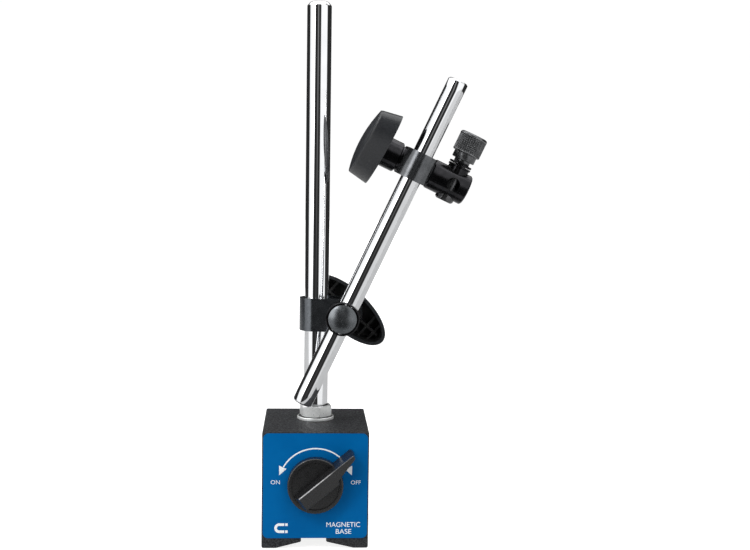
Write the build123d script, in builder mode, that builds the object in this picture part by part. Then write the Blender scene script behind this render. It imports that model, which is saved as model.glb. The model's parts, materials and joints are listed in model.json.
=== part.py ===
from build123d import *
import math
import os

os.makedirs("parts", exist_ok=True)

# ---------------------------------------------------------------------------
# Articulated indicator stand on a switchable magnetic base. Millimetres.
# Origin: centre of the base underside, +Z up, switch knob facing -Y.
# ---------------------------------------------------------------------------

# base block
base_w = 51.0            # X
base_d = 60.0            # Y, over label plate and rear cover
base_h = 56.0            # Z
edge_r = 0.8             # outer edge rounding
label_t = 0.5            # front label plate
cover_t = 1.5            # rear cover
block_y0 = -base_d / 2 + label_t
block_y1 = base_d / 2 - cover_t
groove_half = 18.5       # half width of the V groove in the underside
groove_rise = 3.0        # rise of the V flanks at the slot
slot_half = 6.0          # half width of the slot between the poles
slot_x = -0.6             # slot centre, a little left of the middle
slot_r = 0.8              # rounding where the slot meets the groove
slot_top = 9.0           # ceiling of the slot
upper_half = 7.0         # half width of the upper spacer
fit = 0.02               # gap between pieces that are pressed or brazed together

# rotor
rotor_z = 31.2
rotor_r = 14.9
bore_r = 15.05
plate_r = 19.0           # bearing plate counterbores
front_plate_t = 5.0
rear_plate_t = 4.0
cap_t = 3.0
rotor_y0 = block_y0 + front_plate_t + 0.2
rotor_y1 = block_y1 - rear_plate_t - 0.2
magnet_t = 12.0          # magnet thickness along its polarity
rotor_lean = -9.0        # magnet angle with the switch off
spindle_r = 4.0
run_gap = 0.05           # radial clearance of a running fit
switch_travel = 108.0
track_r = 10.8           # radius of stop and detent tracks
stop_pin_r = 1.5
stop_angle = 144.0       # place of the stop pin, seen from the front
ball_r = 1.6
ball_angle = 324.0

# switch knob
knob_disc_r = 13.3
knob_disc_t = 4.4
knob_gap = 0.3
pointer_tip = 23.9
pointer_h = 10.4          # ridge height above the knob's inner face
pointer_side = 8.2        # height of the pointer's lower edge
pointer_angle = 39.3

# column and its lock nut
col_y = 4.0
col_r = 6.0
col_top = 262.3
col_bottom = 63.3
spigot_r = 4.0
washer_r = 9.15
washer_t = 1.5
nut_af = 14.3
nut_t = 5.6
nut_turn = -107.3

# lower clamp, on the column
low_yaw = -5.2
low_z = 109.1
low_bolt_off = 14.5
low_h = 16.3
strap_t = 2.5

# arm
arm_r = 5.0
arm_len = 173.0
arm_lean = 25.06
arm_low = 46.7           # from the lower end to the tilt axis
arm_off = 16.5           # arm axis in front of the column axis

# upper clamp, on the arm
up_station = 127.8       # from the arm's lower end
up_twist = 7.0
up_bolt_off = 13.0
up_h = 13.7

# clamp bolts and hand knobs
bolt_r = 3.95
tap_r = 4.0
hub_r = 7.5
hub_len = 8.3
hub_washer_t = 1.0
grip_a = 24.4
grip_b = 10.8
grip_top_a = 22.1
grip_wall = 1.7
grip_wall_h = 10.4
grip_h = 12.6
low_grip_turn = 132.0
up_grip_turn = 133.2

# swivel head of the lower clamp
head_r = 6.85
sleeve_r = 8.15
sleeve_in_r = 7.3

# stem block of the upper clamp
block_r = 7.5
block_len = 21.1
stem_z = 12.95           # stem hole, from the block's inner end
stem_r = 3.3
pin_r = 4.75


def export(name, part):
    part.label = name
    export_step(part, f"parts/{name}.step")


def turned(angle, radius):
    return radius * math.cos(math.radians(angle)), radius * math.sin(math.radians(angle))


# plane of the base's front view: local x = +X, local y = +Z, normal -Y
def front(y):
    return Plane(origin=(0, y, 0), x_dir=(1, 0, 0), z_dir=(0, -1, 0))


# ---------------------------------------------------------------------------
# Base: two soft iron poles, spacers and plates
# ---------------------------------------------------------------------------

def make_pole(side):
    with BuildPart() as pole:
        with BuildSketch(front(block_y0)):
            with BuildLine():
                Polyline(
                    (side * base_w / 2, 0),
                    (side * base_w / 2, base_h),
                    (side * upper_half, base_h),
                    (side * upper_half, rotor_z),
                    (slot_x + side * slot_half, rotor_z),
                    (slot_x + side * slot_half, groove_rise),
                    (side * groove_half, 0),
                    close=True,
                )
            make_face()
        extrude(amount=-(block_y1 - block_y0))
        outer = pole.edges().filter_by(Axis.Z).filter_by_position(Axis.X, *sorted((side * base_w / 2 - 0.01, side * base_w / 2 + 0.01)))
        top = pole.edges().filter_by(Axis.Y).filter_by_position(Axis.Z, base_h - 0.01, base_h + 0.01).sort_by(Axis.X)
        top = top[-1] if side > 0 else top[0]
        foot = pole.edges().filter_by(Axis.Y).filter_by_position(Axis.Z, -0.01, 0.01).sort_by(Axis.X)
        foot = foot[-1] if side > 0 else foot[0]
        fillet([*outer, top, foot], radius=edge_r)
        lip = pole.edges().filter_by(Axis.Y).filter_by_position(Axis.Z, groove_rise - 0.01, groove_rise + 0.01)
        fillet(lip, radius=slot_r)
        with BuildSketch(front(block_y0 - 1)):
            with Locations((0, rotor_z)):
                Circle(bore_r)
        extrude(amount=-(base_d + 2), mode=Mode.SUBTRACT)
        with BuildSketch(front(block_y0)):
            with Locations((0, rotor_z)):
                Circle(plate_r)
        extrude(amount=-front_plate_t, mode=Mode.SUBTRACT)
        with BuildSketch(front(block_y1)):
            with Locations((0, rotor_z)):
                Circle(plate_r)
        extrude(amount=rear_plate_t, mode=Mode.SUBTRACT)
        # tapped holes for the rear cover screws
        with BuildSketch(front(block_y1)):
            with Locations((side * 19.5, 6.5), (side * 19.5, base_h - 6.5)):
                Circle(1.5)
        extrude(amount=9, mode=Mode.SUBTRACT)
    return pole.part


left_pole = make_pole(-1)
right_pole = make_pole(1)

with BuildPart() as upper_spacer:
    with BuildSketch(front(block_y0)):
        with Locations((0, (rotor_z + base_h) / 2)):
            Rectangle(2 * (upper_half - fit), base_h - rotor_z)
        with Locations((0, rotor_z)):
            Circle(bore_r, mode=Mode.SUBTRACT)
    extrude(amount=-(block_y1 - block_y0))
    with BuildSketch(front(block_y0)):
        with Locations((0, rotor_z)):
            Circle(plate_r)
    extrude(amount=-front_plate_t, mode=Mode.SUBTRACT)
    with BuildSketch(front(block_y1)):
        with Locations((0, rotor_z)):
            Circle(plate_r)
    extrude(amount=rear_plate_t, mode=Mode.SUBTRACT)
    # threaded seat of the column
    with BuildSketch(Plane.XY.offset(base_h)):
        with Locations((0, col_y)):
            Circle(spigot_r)
    extrude(amount=-(base_h - rotor_z), mode=Mode.SUBTRACT)

with BuildPart() as lower_spacer:
    with BuildSketch(front(block_y0)):
        with Locations((slot_x, (slot_top + rotor_z) / 2)):
            Rectangle(2 * (slot_half - fit), rotor_z - slot_top)
        with Locations((0, rotor_z)):
            Circle(bore_r, mode=Mode.SUBTRACT)
    extrude(amount=-(block_y1 - block_y0))
    with BuildSketch(front(block_y0)):
        with Locations((0, rotor_z)):
            Circle(plate_r)
    extrude(amount=-front_plate_t, mode=Mode.SUBTRACT)
    with BuildSketch(front(block_y1)):
        with Locations((0, rotor_z)):
            Circle(plate_r)
    extrude(amount=rear_plate_t, mode=Mode.SUBTRACT)

# bearing plates close the rotor bore and carry its two journals
with BuildPart() as front_bearing_plate:
    with BuildSketch(front(block_y0)):
        with Locations((0, rotor_z)):
            Circle(plate_r - fit)
            Circle(spindle_r + run_gap, mode=Mode.SUBTRACT)
    extrude(amount=-front_plate_t)
    with BuildSketch(front(block_y0 + front_plate_t)):
        px, pz = turned(stop_angle, track_r)
        with Locations((px, rotor_z + pz)):
            Circle(stop_pin_r + fit / 2)
        bx, bz = turned(ball_angle, track_r)
        with Locations((bx, rotor_z + bz)):
            Circle(ball_r + 0.03)
    extrude(amount=4.2, mode=Mode.SUBTRACT)

with BuildPart() as rear_bearing_plate:
    with BuildSketch(front(block_y1 - rear_plate_t)):
        with Locations((0, rotor_z)):
            Circle(plate_r - fit)
            Circle(spindle_r + run_gap, mode=Mode.SUBTRACT)
    extrude(amount=-rear_plate_t)

with BuildPart() as label_plate:
    with BuildSketch(front(block_y0)):
        with Locations((0, (base_h + 4.9) / 2 - 0.2)):
            RectangleRounded(base_w - 1.2, base_h - 4.9 - 0.4, 2.6)
        with Locations((0, rotor_z)):
            Circle(spindle_r + 0.3, mode=Mode.SUBTRACT)
    extrude(amount=label_t)

with BuildPart() as rear_cover:
    with BuildSketch(front(block_y1)):
        with Locations((0, base_h / 2 + 1.5)):
            RectangleRounded(base_w - 2, base_h - 5, 2.0)
    extrude(amount=-cover_t)
    with Locations(Location(Plane(origin=(0, base_d / 2, 0), x_dir=(-1, 0, 0), z_dir=(0, 1, 0)))):
        with Locations((-19.5, 6.5), (19.5, 6.5), (-19.5, base_h - 6.5), (19.5, base_h - 6.5)):
            CounterSinkHole(radius=1.6, counter_sink_radius=2.9, depth=cover_t)

with BuildPart() as rear_cover_screws:
    for sx in (-19.5, 19.5):
        for sz in (6.5, base_h - 6.5):
            with BuildSketch(Plane(origin=(sx, 0, sz), x_dir=(1, 0, 0), z_dir=(0, 0, 1))):
                with BuildLine():
                    Polyline(
                        (0, base_d / 2 - 0.05),
                        (2.75, base_d / 2 - 0.05),
                        (2.75, base_d / 2 - 0.15),
                        (1.45, base_d / 2 - 1.45),
                        (1.45, block_y1 - 8.0),
                        (0, block_y1 - 8.5),
                        close=True,
                    )
                make_face()
            revolve(axis=Axis((sx, 0, sz), (0, 1, 0)))
    # cross recesses
    with BuildSketch(front(base_d / 2)):
        with Locations((-19.5, 6.5), (19.5, 6.5), (-19.5, base_h - 6.5), (19.5, base_h - 6.5)):
            Rectangle(2.8, 0.6)
            Rectangle(0.6, 2.8)
    extrude(amount=0.9, mode=Mode.SUBTRACT)

# ---------------------------------------------------------------------------
# Rotor and switch
# ---------------------------------------------------------------------------

with BuildPart() as rotor_magnet:
    with BuildSketch(front(rotor_y0 + cap_t)):
        with Locations((0, rotor_z)):
            Circle(rotor_r)
        with Locations(Location((0, rotor_z, 0), (0, 0, rotor_lean))):
            Rectangle(4 * rotor_r, magnet_t, mode=Mode.INTERSECT)
    extrude(amount=-(rotor_y1 - rotor_y0 - 2 * cap_t))

with BuildPart() as rotor_shoes:
    with BuildSketch(front(rotor_y0 + cap_t)):
        with Locations((0, rotor_z)):
            Circle(rotor_r)
        with Locations(Location((0, rotor_z, 0), (0, 0, rotor_lean))):
            Rectangle(4 * rotor_r, magnet_t + 2 * fit, mode=Mode.SUBTRACT)
    extrude(amount=-(rotor_y1 - rotor_y0 - 2 * cap_t))

stop_arc = CenterArc((0, rotor_z), track_r, stop_angle - switch_travel - 1, switch_travel + 2)
ball_arc = CenterArc((0, rotor_z), track_r, ball_angle - switch_travel, switch_travel)

with BuildPart() as rotor_front_cap:
    with BuildSketch(front(rotor_y0)):
        with Locations((0, rotor_z)):
            Circle(rotor_r)
            Circle(spindle_r + fit / 2, mode=Mode.SUBTRACT)
    extrude(amount=-(cap_t - fit))
    # curved track that the stop pin runs in
    with BuildSketch(front(rotor_y0)):
        SlotArc(stop_arc, 2 * stop_pin_r + 0.3)
    extrude(amount=-1.9, mode=Mode.SUBTRACT)
    # shallow track of the detent ball, with a deeper pocket at each end
    with BuildSketch(front(rotor_y0)):
        SlotArc(ball_arc, 2.8)
    extrude(amount=-0.75, mode=Mode.SUBTRACT)
    for a in (ball_angle, ball_angle - switch_travel):
        cx, cz = turned(a, track_r)
        with BuildSketch(front(rotor_y0)):
            with Locations((cx, rotor_z + cz)):
                Circle(1.1)
        extrude(amount=-1.0, mode=Mode.SUBTRACT)

with BuildPart() as rotor_rear_cap:
    with BuildSketch(front(rotor_y1 - cap_t + fit)):
        with Locations((0, rotor_z)):
            Circle(rotor_r)
    extrude(amount=-(cap_t - fit))
    with BuildSketch(front(rotor_y1)):
        with Locations((0, rotor_z)):
            Circle(spindle_r)
    extrude(amount=-(rear_plate_t - 0.3))

knob_y = -base_d / 2 - knob_gap          # inner face of the switch knob
with BuildPart() as switch_spindle:
    with BuildSketch(front(rotor_y0 + cap_t - fit)):
        with Locations((0, rotor_z)):
            Circle(spindle_r)
    extrude(amount=(rotor_y0 + cap_t - fit) - (knob_y - 3.0))
    # flat that turns with the knob
    with BuildSketch(front(knob_y - 3.1)):
        with Locations((0, rotor_z + spindle_r)):
            Rectangle(10, 2.4)
    extrude(amount=-3.1, mode=Mode.SUBTRACT)

with BuildPart() as stop_pin:
    with BuildSketch(front(block_y0 + front_plate_t - 4.1)):
        px, pz = turned(stop_angle, track_r)
        with Locations((px, rotor_z + pz)):
            Circle(stop_pin_r)
    extrude(amount=-5.7)

bx, bz = turned(ball_angle, track_r)
ball_y = rotor_y0 + 0.68 - ball_r
with BuildPart() as detent_ball:
    with Locations((bx, ball_y, rotor_z + bz)):
        Sphere(ball_r)

with BuildPart() as detent_spring:
    spring_y0 = block_y0 + front_plate_t - 4.15
    spring_len = ball_y - ball_r - spring_y0 - 0.02
    with BuildSketch(front(spring_y0)):
        with Locations((bx, rotor_z + bz)):
            Circle(1.35)
            Circle(0.95, mode=Mode.SUBTRACT)
    extrude(amount=-spring_len)
    for i in range(3):
        with BuildSketch(front(spring_y0 + spring_len * (i + 0.75) / 3.3)):
            with Locations((bx, rotor_z + bz)):
                Circle(1.5)
                Circle(1.15, mode=Mode.SUBTRACT)
        extrude(amount=spring_len / 12, mode=Mode.SUBTRACT)

# switch knob: round skirt with a tall pointer across it. The pointer's section
# has a sharp ridge on one side and a face that falls away on the other, and
# its outline narrows to a rounded tip.
pc, ps = math.cos(math.radians(pointer_angle)), math.sin(math.radians(pointer_angle))
pointer_dir = Vector(pc, 0, ps)
pointer_up = Vector(-ps, 0, pc)
with BuildPart() as pointer:
    with BuildSketch(Plane(origin=Vector(0, knob_y, rotor_z) - pointer_dir * 12.4, x_dir=pointer_up, z_dir=pointer_dir)):
        with BuildLine():
            Polyline((2.9, 0), (1.5, pointer_h), (0.9, pointer_h), (-5.6, pointer_side), (-6.4, 0), close=True)
        make_face()
    extrude(amount=12.4 + pointer_tip)
    with BuildSketch(Plane(origin=(0, knob_y + 1, rotor_z), x_dir=pointer_dir, z_dir=(0, -1, 0))) as plan:
        with BuildLine():
            Polyline((0, 3.5), (8.0, 3.5), (pointer_tip, 3.0), (pointer_tip, -0.4), (5.0, -5.4), (0, -6.8), close=True)
        make_face()
        fillet(plan.vertices().sort_by(Axis(Vector(0, 0, rotor_z), pointer_dir))[-2:], radius=1.5)
        Circle(knob_disc_r - 1.9)
    extrude(amount=pointer_h + 2, mode=Mode.INTERSECT)
    ridge = pointer.faces().filter_by(lambda f: f.center().Y < knob_y - pointer_side + 0.1)
    fillet([e for e in ridge.edges() if e.center().Y < knob_y - pointer_side + 0.5], radius=0.28)
    # the back end slopes down from the ridge to the disc
    with BuildSketch(Plane(origin=(0, knob_y, rotor_z), x_dir=pointer_dir, z_dir=(ps, 0, -pc))):
        with BuildLine():
            Polyline((-13.38, 0), (-8.43, 11.0), (pointer_tip + 1, 11.0), (pointer_tip + 1, 0), close=True)
        make_face()
    extrude(amount=12, both=True, mode=Mode.INTERSECT)

with BuildPart() as switch_knob:
    with BuildSketch(front(knob_y)):
        with Locations((0, rotor_z)):
            Circle(knob_disc_r)
    extrude(amount=knob_disc_t)
    fillet(switch_knob.faces().sort_by(Axis.Y)[0].edges(), radius=0.8)
    # shallow dish that leaves a raised rim
    with BuildSketch(front(knob_y - knob_disc_t)):
        with Locations((0, rotor_z)):
            Circle(knob_disc_r - 1.8)
    extrude(amount=-0.7, mode=Mode.SUBTRACT)
    add(pointer.part)
    # D-shaped bore for the spindle
    with BuildSketch(front(knob_y)):
        with Locations((0, rotor_z)):
            Circle(spindle_r + fit)
        with Locations((0, rotor_z + spindle_r)):
            Rectangle(10, 2.4 - 2 * fit, mode=Mode.SUBTRACT)
    extrude(amount=3.1, mode=Mode.SUBTRACT)

# ---------------------------------------------------------------------------
# Column with its lock nut and washer
# ---------------------------------------------------------------------------

with BuildPart() as column:
    with BuildSketch(Plane.XY.offset(col_bottom)):
        with Locations((0, col_y)):
            Circle(col_r)
    extrude(amount=col_top - col_bottom)
    chamfer(column.edges().filter_by(GeomType.CIRCLE).group_by(Axis.Z)[-1], length=1.6, length2=2.2)
    chamfer(column.edges().filter_by(GeomType.CIRCLE).group_by(Axis.Z)[0], length=0.4)
    with BuildSketch(Plane.XY.offset(col_bottom)):
        with Locations((0, col_y)):
            Circle(spigot_r - run_gap)
    extrude(amount=-(col_bottom - 47.0))
    chamfer(column.edges().filter_by(GeomType.CIRCLE).group_by(Axis.Z)[0], length=0.6)

with BuildPart() as column_washer:
    with BuildSketch(Plane.XY.offset(base_h + fit / 2)):
        with Locations((0, col_y)):
            Circle(washer_r)
            Circle(spigot_r + 0.25, mode=Mode.SUBTRACT)
    extrude(amount=washer_t)
    fillet(column_washer.edges().filter_by(GeomType.CIRCLE).group_by(SortBy.RADIUS)[-1], radius=0.35)

nut_z = base_h + washer_t + 0.04
with BuildPart() as column_nut:
    with BuildSketch(Plane.XY.offset(nut_z)):
        with Locations((0, col_y)):
            RegularPolygon(radius=nut_af / 2, side_count=6, major_radius=False, rotation=nut_turn + 30)
    extrude(amount=nut_t)
    # turned chamfers on both ends of the hexagon
    with BuildSketch(Plane(origin=(0, col_y, nut_z), x_dir=(1, 0, 0), z_dir=(0, -1, 0))):
        with BuildLine():
            Polyline(
                (0, 0),
                (nut_af / 2 + 0.1, 0),
                (nut_af / 2 + 1.4, 0.75),
                (nut_af / 2 + 1.4, nut_t - 0.75),
                (nut_af / 2 + 0.1, nut_t),
                (0, nut_t),
                close=True,
            )
        make_face()
    revolve(axis=Axis((0, col_y, 0), (0, 0, 1)), mode=Mode.INTERSECT)
    with BuildSketch(Plane.XY.offset(nut_z)):
        with Locations((0, col_y)):
            Circle(spigot_r)
    extrude(amount=nut_t, mode=Mode.SUBTRACT)

# ---------------------------------------------------------------------------
# Clamp frames. In each, x runs from the rod to the bolt, y along the bolt
# towards the hand knob, z along the rod.
# ---------------------------------------------------------------------------

cy, sy = math.cos(math.radians(low_yaw)), math.sin(math.radians(low_yaw))
X_L, Y_L, Z_L = Vector(cy, sy, 0), Vector(-sy, cy, 0), Vector(0, 0, 1)
low_frame = Plane(origin=(0, col_y, low_z), x_dir=X_L, z_dir=Z_L)
low_bolt = Vector(0, col_y, low_z) + X_L * low_bolt_off

ca, sa = math.cos(math.radians(arm_lean)), math.sin(math.radians(arm_lean))
arm_dir = X_L * sa + Z_L * ca            # up along the arm
arm_side = X_L * ca - Z_L * sa           # across the arm, down to the right
pivot = low_bolt - Y_L * arm_off         # arm axis meets the tilt axis
arm_start = pivot - arm_dir * arm_low
ct, st = math.cos(math.radians(up_twist)), math.sin(math.radians(up_twist))
up_out = Y_L * ct - arm_side * st        # from the arm to the upper bolt
up_origin = arm_start + arm_dir * up_station
up_frame = Plane(origin=up_origin, x_dir=up_out, z_dir=arm_dir)
up_knobward = up_frame.y_dir
up_bolt = up_origin + up_out * up_bolt_off

# bolt frames: local z along the bolt towards the knob, local x along the rod
low_axis = Plane(origin=low_bolt, x_dir=Z_L, z_dir=Y_L)
up_axis = Plane(origin=up_bolt, x_dir=arm_dir, z_dir=up_knobward)


def make_strap(frame, bolt_plane, rod_r, bolt_off, height):
    """U-shaped steel strap round a rod, its two legs drilled for the bolt."""
    outer = rod_r + strap_t
    leg = bolt_off + height / 2
    with BuildPart() as strap:
        with BuildSketch(frame.offset(-height / 2)):
            Circle(outer)
            with Locations((leg / 2, 0)):
                Rectangle(leg, 2 * outer)
            Circle(rod_r + run_gap, mode=Mode.SUBTRACT)
            with Locations((leg / 2 + 0.5, 0)):
                Rectangle(leg + 1, 2 * rod_r, mode=Mode.SUBTRACT)
        extrude(amount=height)
        # legs end in a half round about the bolt
        with BuildSketch(bolt_plane):
            with Locations((0, -bolt_off / 2 - outer / 2)):
                Rectangle(height, bolt_off + outer)
            Circle(height / 2)
        extrude(amount=outer + 1, both=True, mode=Mode.INTERSECT)
        with BuildSketch(bolt_plane):
            Circle(bolt_r + 0.3)
        extrude(amount=outer + 1, both=True, mode=Mode.SUBTRACT)
    return strap.part


column_strap = make_strap(low_frame, low_axis, col_r, low_bolt_off, low_h)
arm_strap = make_strap(up_frame, up_axis, arm_r, up_bolt_off, up_h)


def make_hub_washer(bolt_plane, z0):
    with BuildPart() as washer:
        with BuildSketch(bolt_plane.offset(z0)):
            Circle(6.3)
            Circle(bolt_r + 0.3, mode=Mode.SUBTRACT)
        extrude(amount=hub_washer_t)
    return washer.part


def make_hub(bolt_plane, z0):
    """Steel nut of a hand knob: round hub outside, hexagon inside the grip."""
    with BuildPart() as hub:
        with BuildSketch(bolt_plane.offset(z0)):
            Circle(hub_r)
        extrude(amount=hub_len)
        chamfer(hub.edges().filter_by(GeomType.CIRCLE), length=0.5)
        with BuildSketch(bolt_plane.offset(z0 + hub_len)):
            RegularPolygon(radius=5.5, side_count=6, major_radius=False)
        extrude(amount=7.4)
        with BuildSketch(bolt_plane.offset(z0)):
            Circle(tap_r)
        extrude(amount=hub_len + 7.4, mode=Mode.SUBTRACT)
    return hub.part


# Hollow oval grip, made on the XY plane with its open rim at z = 0: round
# profiles with a drafted wall and a crowned end, squeezed to an oval.
crown_r = 108.0
crown_drop = crown_r - math.sqrt(crown_r ** 2 - grip_top_a ** 2)

with BuildPart() as grip_cavity:
    with BuildSketch(Plane.XZ) as cavity_profile:
        with BuildLine():
            Polyline(
                (0, -1),
                (grip_a - grip_wall + 0.2, -1),
                (grip_top_a - grip_wall + 0.2, grip_wall_h - 1.0),
                (0, grip_wall_h - 0.2),
                close=True,
            )
        make_face()
        fillet(cavity_profile.vertices().sort_by(Axis.Y)[-2], radius=1.4)
    revolve(axis=Axis.Z)
    scale(by=(1, (grip_b - grip_wall) / (grip_a - grip_wall), 1))

with BuildPart() as grip:
    with BuildSketch(Plane.XZ) as grip_profile:
        with BuildLine():
            Polyline((0, grip_h), (0, 0), (grip_a, 0), (grip_top_a, grip_h - crown_drop))
            RadiusArc((grip_top_a, grip_h - crown_drop), (0, grip_h), -crown_r)
        make_face()
        corner = grip_profile.vertices().sort_by_distance((grip_top_a, grip_h - crown_drop, 0))[0]
        fillet(corner, radius=1.5)
    revolve(axis=Axis.Z)
    scale(by=(1, grip_b / grip_a, 1))
    add(grip_cavity.part, mode=Mode.SUBTRACT)
    # boss for the hub, ribs out to the wall
    with BuildSketch(Plane.XY.offset(0.3)):
        Circle(hub_r)
    extrude(amount=grip_wall_h - 0.3)
    with BuildSketch(Plane.XY.offset(0.3)):
        RegularPolygon(radius=5.5 + fit, side_count=6, major_radius=False)
    extrude(amount=7.42, mode=Mode.SUBTRACT)
    with BuildSketch(Plane.XY.offset(5.0)):
        with Locations((13.9, 0), (-13.9, 0)):
            Rectangle(13.0, 1.3)
        with Locations((13.2, 0), (-13.2, 0)):
            Rectangle(1.2, 14.8)
        with Locations((18.0, 0), (-18.0, 0)):
            Rectangle(1.2, 10.6)
    extrude(amount=grip_wall_h - 5.0)


def turned_plane(bolt_plane, z0, turn):
    c, s = math.cos(math.radians(turn)), math.sin(math.radians(turn))
    return Plane(
        origin=bolt_plane.origin + bolt_plane.z_dir * z0,
        x_dir=bolt_plane.x_dir * c + bolt_plane.y_dir * s,
        z_dir=bolt_plane.z_dir,
    )


low_out = col_r + strap_t                # outer face of the strap legs
up_out_face = arm_r + strap_t
low_hub_z = low_out + fit + hub_washer_t + 0.05
up_hub_z = up_out_face + fit + hub_washer_t + 0.05

lower_washer = make_hub_washer(low_axis, low_out + fit)
upper_washer = make_hub_washer(up_axis, up_out_face + fit)
lower_hub = make_hub(turned_plane(low_axis, low_hub_z, low_grip_turn), 0)
upper_hub = make_hub(turned_plane(up_axis, up_hub_z, up_grip_turn), 0)
lower_grip = turned_plane(low_axis, low_hub_z + hub_len - 0.28, low_grip_turn).location * grip.part
upper_grip = turned_plane(up_axis, up_hub_z + hub_len - 0.28, up_grip_turn).location * grip.part

# ---------------------------------------------------------------------------
# Swivel head: a cross-drilled bolt inside a thin sleeve grips the arm
# ---------------------------------------------------------------------------

arm_plane = Plane(origin=pivot, x_dir=X_L, z_dir=arm_dir)
head_back = -(low_out + 1.7)             # rear face of the bolt head
head_front = -(arm_off + 7.4)            # where the dome starts
dome_h = 1.7

bolt_end = low_hub_z + hub_len + 6.6
dome_r = (head_r ** 2 + dome_h ** 2) / (2 * dome_h)

with BuildPart() as swivel_bolt:
    with BuildSketch(Plane(origin=low_bolt, x_dir=X_L, z_dir=Z_L)):
        with BuildLine():
            Polyline(
                (0, head_front - dome_h),
                (0, bolt_end),
                (bolt_r - 0.6, bolt_end),
                (bolt_r, bolt_end - 0.6),
                (bolt_r, head_back),
                (head_r - 0.3, head_back),
                (head_r, head_back - 0.3),
                (head_r, head_front),
            )
            RadiusArc((head_r, head_front), (0, head_front - dome_h), dome_r)
        make_face()
    revolve(axis=Axis(low_bolt, Y_L))
    with BuildSketch(arm_plane):
        Circle(arm_r + run_gap)
    extrude(amount=20, both=True, mode=Mode.SUBTRACT)

with BuildPart() as pressure_sleeve:
    with BuildSketch(low_axis.offset(-(low_out + 0.05))):
        Circle(sleeve_r)
        Circle(bolt_r + 0.3, mode=Mode.SUBTRACT)
    extrude(amount=-(arm_off + 7.0 - low_out - 0.05))
    with BuildSketch(low_axis.offset(-(low_out + 1.2))):
        Circle(sleeve_in_r)
    extrude(amount=-20, mode=Mode.SUBTRACT)
    rims = pressure_sleeve.edges().filter_by(GeomType.CIRCLE).filter_by(lambda e: e.radius > sleeve_r - 0.01)
    chamfer(rims, length=0.35)
    with BuildSketch(arm_plane):
        Circle(arm_r + run_gap)
    extrude(amount=20, both=True, mode=Mode.SUBTRACT)

with BuildPart() as arm:
    with BuildSketch(Plane(origin=arm_start, x_dir=X_L, z_dir=arm_dir)):
        Circle(arm_r)
    extrude(amount=arm_len)
    chamfer(arm.edges().filter_by(GeomType.CIRCLE), length=0.7)

# ---------------------------------------------------------------------------
# Stem block with its draw pin and thumb nut
# ---------------------------------------------------------------------------

stem_at = up_bolt - up_knobward * (up_out_face + 0.05 + stem_z)
pin_axis = Plane(origin=stem_at, x_dir=up_knobward, z_dir=arm_dir)
stem_axis = Plane(origin=stem_at, x_dir=arm_dir, z_dir=up_out)

with BuildPart() as stem_block:
    with BuildSketch(up_axis.offset(-(up_out_face + 0.05))):
        Circle(block_r)
    extrude(amount=-block_len)
    ends = stem_block.edges().filter_by(GeomType.CIRCLE)
    chamfer(ends.sort_by(Axis(up_bolt, up_knobward))[-1], length=1.6, length2=1.1)
    chamfer(stem_block.edges().filter_by(GeomType.CIRCLE).sort_by(Axis(up_bolt, up_knobward))[0], length=0.6)
    # threaded shank for the hand knob
    with BuildSketch(up_axis.offset(-(up_out_face + 1))):
        Circle(bolt_r)
    extrude(amount=up_out_face + 1 + up_hub_z + hub_len + 6.4)
    # seat of the spring washers
    with BuildSketch(pin_axis):
        Circle(5.3)
    extrude(amount=8.5)
    with BuildSketch(pin_axis.offset(-12)):
        Circle(pin_r + run_gap)
    extrude(amount=12 + 6.6, mode=Mode.SUBTRACT)
    with BuildSketch(pin_axis):
        Circle(2.7)
    extrude(amount=10, mode=Mode.SUBTRACT)
    with BuildSketch(stem_axis):
        Circle(stem_r)
    extrude(amount=12, both=True, mode=Mode.SUBTRACT)

with BuildPart() as draw_pin:
    with BuildSketch(pin_axis.offset(-9.2)):
        Circle(pin_r)
    extrude(amount=9.2 + 5.6)
    chamfer(draw_pin.edges().filter_by(GeomType.CIRCLE), length=0.8)
    with BuildSketch(pin_axis.offset(5.5)):
        Circle(2.45)
    extrude(amount=17.2)
    with BuildSketch(stem_axis):
        Circle(stem_r)
    extrude(amount=12, both=True, mode=Mode.SUBTRACT)

with BuildPart() as spring_washers:
    for h in (8.55, 9.85):
        with BuildSketch(pin_axis.offset(h)):
            Circle(5.8)
            Circle(2.75, mode=Mode.SUBTRACT)
        extrude(amount=1.05)
    chamfer(spring_washers.edges().filter_by(GeomType.CIRCLE).filter_by(lambda e: e.radius > 5.7), length=0.25)

with BuildPart() as thumb_nut:
    with BuildSketch(pin_axis.offset(10.95)):
        Circle(4.0)
    extrude(amount=2.0)
    with BuildSketch(pin_axis.offset(12.7)):
        Circle(5.8)
    extrude(amount=3.4)
    with BuildSketch(pin_axis.offset(16.0)):
        Circle(7.05)
    extrude(amount=10.2)
    top = thumb_nut.edges().filter_by(GeomType.CIRCLE).sort_by(Axis(stem_at, arm_dir))
    fillet(top[-1], radius=1.2)
    chamfer(thumb_nut.edges().filter_by(GeomType.CIRCLE).filter_by(lambda e: e.radius > 7.0).sort_by(Axis(stem_at, arm_dir))[0], length=0.5)
    with BuildSketch(pin_axis.offset(10)):
        Circle(2.5)
    extrude(amount=14.0, mode=Mode.SUBTRACT)

# ---------------------------------------------------------------------------

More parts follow.
